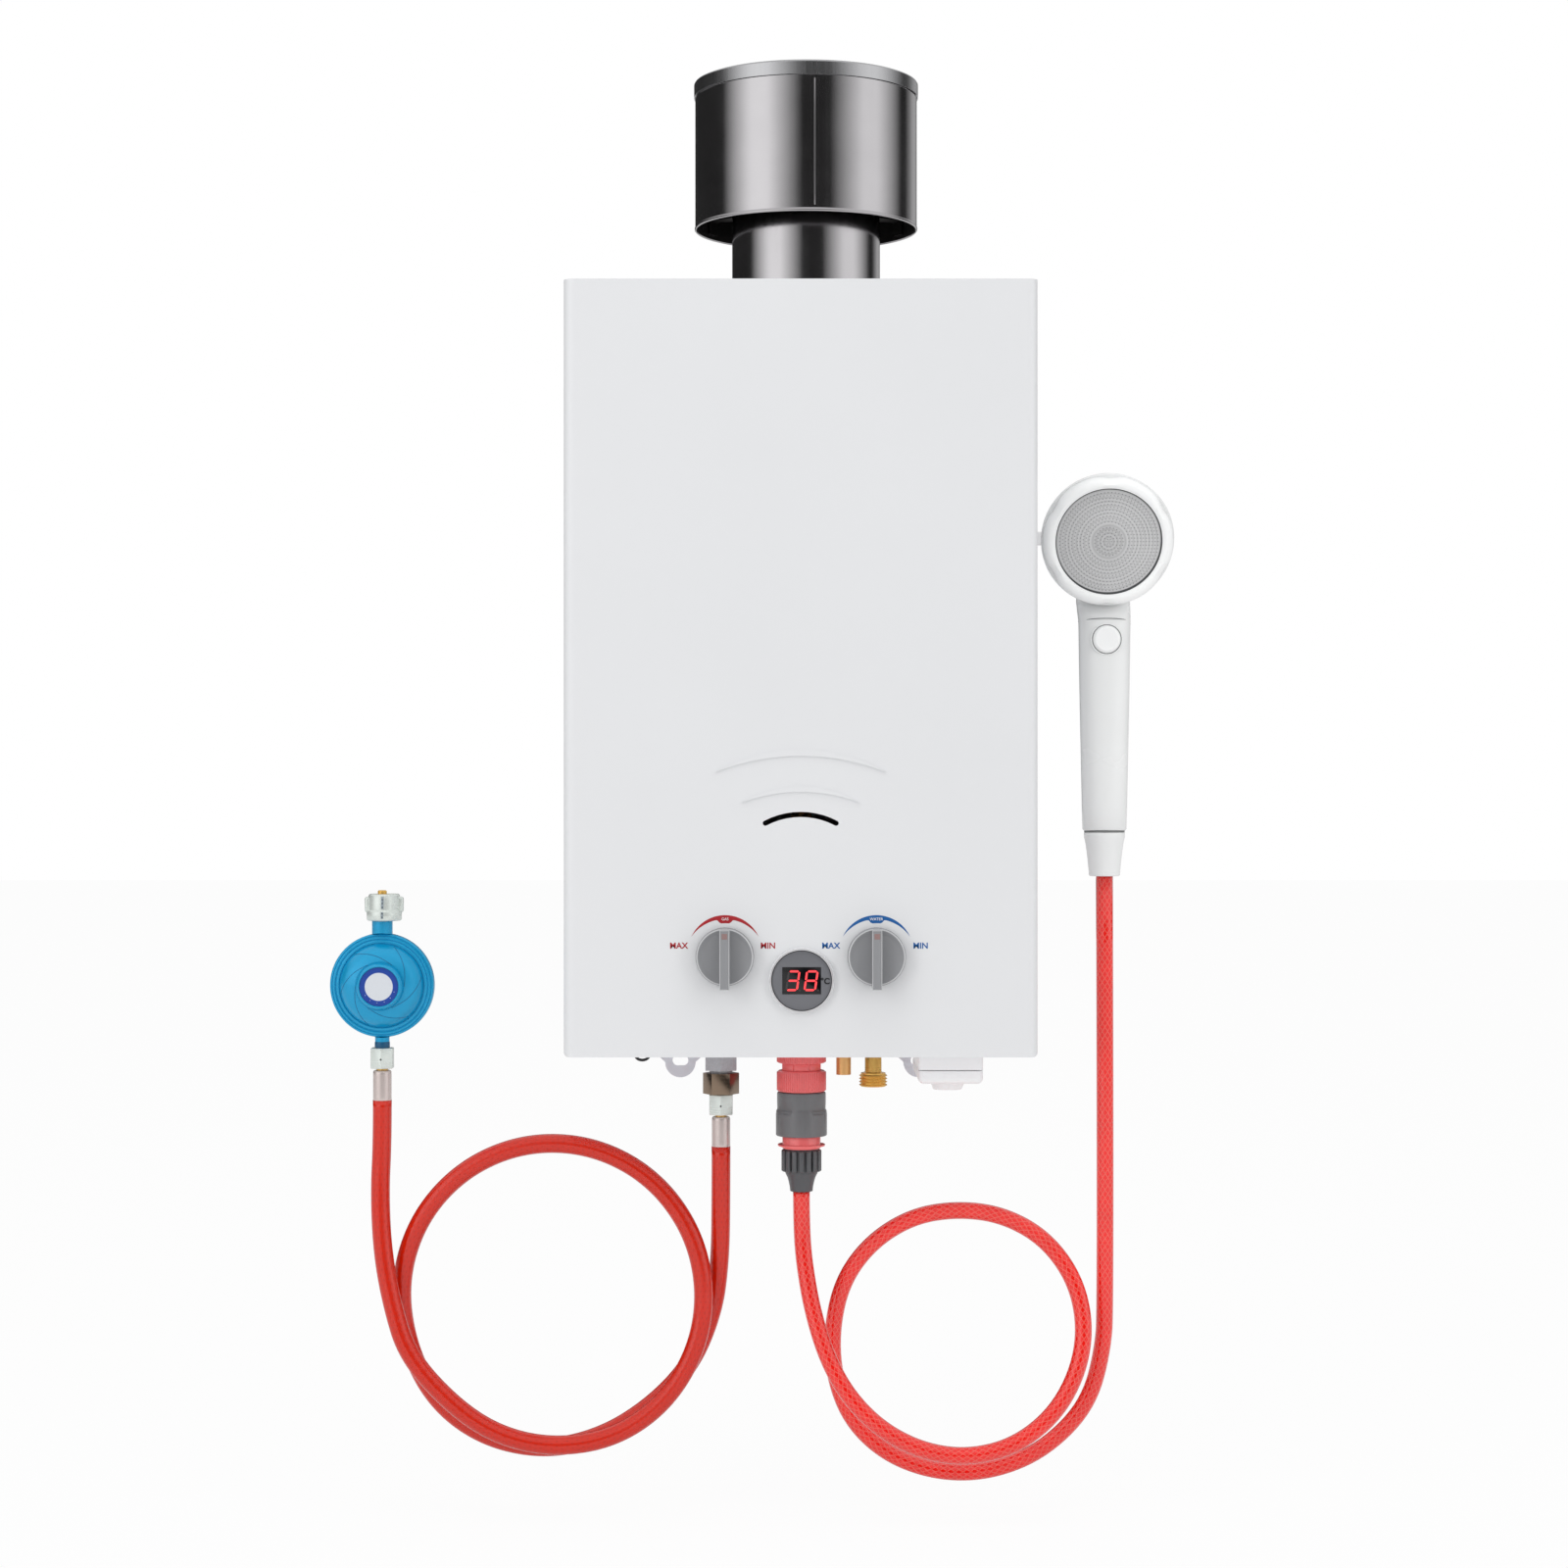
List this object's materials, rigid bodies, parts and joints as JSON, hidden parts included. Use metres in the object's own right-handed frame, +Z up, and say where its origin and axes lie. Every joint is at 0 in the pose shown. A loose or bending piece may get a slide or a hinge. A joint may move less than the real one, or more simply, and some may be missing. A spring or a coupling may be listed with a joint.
{
  "type": "portable propane water heater",
  "caption": "Wall-hung outdoor gas water heater with rain cap, two control knobs and round display, hand shower on a clear red hose and gas regulator on an orange hose.",
  "frame": {"origin": "middle of the rear panel's back face, on the wall", "axes": "+X to the right seen from the front, +Y into the wall, +Z up"},
  "size_m": [0.4965, 0.158, 0.8288],
  "materials": {
    "white_steel": "semi-gloss powder coat",
    "zinc_steel": "zinc plated",
    "polished_steel": "polished stainless steel",
    "lid_steel": "satin stainless steel",
    "grey_plastic": "satin",
    "chrome": "mirror chrome",
    "dark_grey": "satin",
    "black_gloss": "gloss",
    "board_green": "matt",
    "copper": "drawn copper",
    "brass": "turned brass",
    "dark_nickel": "dark nickel on brass",
    "cast_grey": "rough casting",
    "bright_zinc": "bright zinc",
    "die_cast": "die casting",
    "box_plastic": "satin",
    "battery_skin": "printed film",
    "red_plastic": "clear red",
    "black_plastic": "fine matt",
    "clear_red_hose": "clear red over braid",
    "orange_hose": "satin",
    "shell_grey": "satin",
    "ring_white": "satin",
    "blue_metal": "metallic paint",
    "label": "printed film",
    "black_rubber": "matt"
  },
  "bodies": {
    "heater": {"front_cover": "white_steel", "rear_panel": "zinc_steel", "bottom_plate": "zinc_steel", "cover_screws": "bright_zinc", "flue_pipe": "polished_steel", "cap_skirt": "polished_steel", "cap_lid": "lid_steel", "cap_brackets": "bright_zinc", "display_bezel": "chrome", "display_face": "dark_grey", "display_window": "black_gloss", "display_board": "board_green", "exchanger_shell": "copper", "exchanger_fins": "copper", "water_coil": "copper", "flue_hood": "copper", "burner_tray": "polished_steel", "burner_bars": "polished_steel", "gas_manifold": "die_cast", "electrodes": "bright_zinc", "gas_valve_body": "die_cast", "water_valve_body": "brass", "micro_switch": "black_plastic", "ignition_box": "black_plastic", "battery_box": "box_plastic", "batteries": "battery_skin", "battery_lid_pin": "zinc_steel", "gas_inlet_fitting": "cast_grey", "gas_adapter": "dark_nickel", "hose_nipples": "brass", "hose_ferrules": "bright_zinc", "tap_adapter": "red_plastic", "quick_body": "red_plastic", "cold_inlet_fitting": "brass", "relief_stub": "copper", "ignition_wire": "black_rubber", "handset_body": "shell_grey", "handset_holder": "box_plastic", "regulator_body": "blue_metal", "regulator_cover": "blue_metal", "regulator_label": "label", "regulator_diaphragm": "black_rubber", "bottle_nipple": "brass", "gas_hose": "orange_hose", "shower_hose": "clear_red_hose"},
    "gas_control": {"gas_knob": "grey_plastic", "gas_valve_stem": "brass"},
    "water_control": {"water_knob": "grey_plastic", "water_valve_stem": "brass"},
    "water_push_rod": {"push_rod": "brass"},
    "battery_door": {"battery_lid": "box_plastic"},
    "door_latch": {"battery_latch": "box_plastic"},
    "inlet_swivel": {"inlet_hose_nut": "bright_zinc"},
    "regulator_swivel": {"regulator_hose_nut": "bright_zinc"},
    "bottle_handwheel": {"bottle_nut": "bright_zinc"},
    "release_sleeve": {"quick_sleeve": "black_plastic"},
    "clamp_nut": {"hose_clamp_nut": "black_plastic"},
    "spray_selector": {"spray_ring": "ring_white", "spray_plate": "bright_zinc"},
    "flow_button": {"handset_button": "ring_white"},
    "handset_swivel": {"handset_nut": "shell_grey"}
  },
  "joints": [
    {"name": "gas_knob_turn", "type": "hinge", "parent": "heater", "child": "gas_control", "pos_m": [-0.043, -0.141, -0.1638], "axis": [0, -1, 0], "range_deg": [-80, 80]},
    {"name": "water_knob_turn", "type": "hinge", "parent": "heater", "child": "water_control", "pos_m": [0.043, -0.141, -0.1638], "axis": [0, -1, 0], "range_deg": [-80, 80]},
    {"name": "push_rod_slide", "type": "slide", "parent": "heater", "child": "water_push_rod", "axis": [-1, 0, 0], "range_m": [0, 0.003], "stiffness_N_per_m": 400, "springref_m": -0.004},
    {"name": "battery_lid_swing", "type": "hinge", "parent": "heater", "child": "battery_door", "pos_m": [0.087, -0.0294, -0.2359], "axis": [1, 0, 0], "range_deg": [0, 95]},
    {"name": "battery_latch_turn", "type": "hinge", "parent": "battery_door", "child": "door_latch", "pos_m": [0.087, -0.07, -0.2396], "axis": [0, 0, 1], "range_deg": [0, 90]},
    {"name": "inlet_nut_turn", "type": "hinge", "parent": "heater", "child": "inlet_swivel", "pos_m": [-0.0467, -0.07, -0.255], "axis": [0, 0, 1], "continuous": true},
    {"name": "regulator_nut_turn", "type": "hinge", "parent": "heater", "child": "regulator_swivel", "pos_m": [-0.2468, -0.07, -0.227], "axis": [0, 0, 1], "continuous": true},
    {"name": "bottle_nut_turn", "type": "hinge", "parent": "heater", "child": "bottle_handwheel", "pos_m": [-0.2468, -0.07, -0.139], "axis": [0, 0, 1], "continuous": true},
    {"name": "quick_sleeve_slide", "type": "slide", "parent": "heater", "child": "release_sleeve", "axis": [0, 0, -1], "range_m": [0, 0.0045], "stiffness_N_per_m": 600, "springref_m": -0.003},
    {"name": "clamp_nut_turn", "type": "hinge", "parent": "heater", "child": "clamp_nut", "pos_m": [0.0008, -0.07, -0.29], "axis": [0, 0, 1], "continuous": true},
    {"name": "spray_ring_turn", "type": "hinge", "parent": "heater", "child": "spray_selector", "pos_m": [0.18, -0.067, 0.0815], "axis": [0, -0.9744, -0.225], "range_deg": [-60, 60]},
    {"name": "handset_button_press", "type": "slide", "parent": "heater", "child": "flow_button", "axis": [0, 1, 0], "range_m": [0, 0.0025], "stiffness_N_per_m": 600, "springref_m": -0.003},
    {"name": "handset_nut_turn", "type": "hinge", "parent": "heater", "child": "handset_swivel", "pos_m": [0.18, -0.068, -0.107], "axis": [0, 0, 1], "continuous": true}
  ]
}
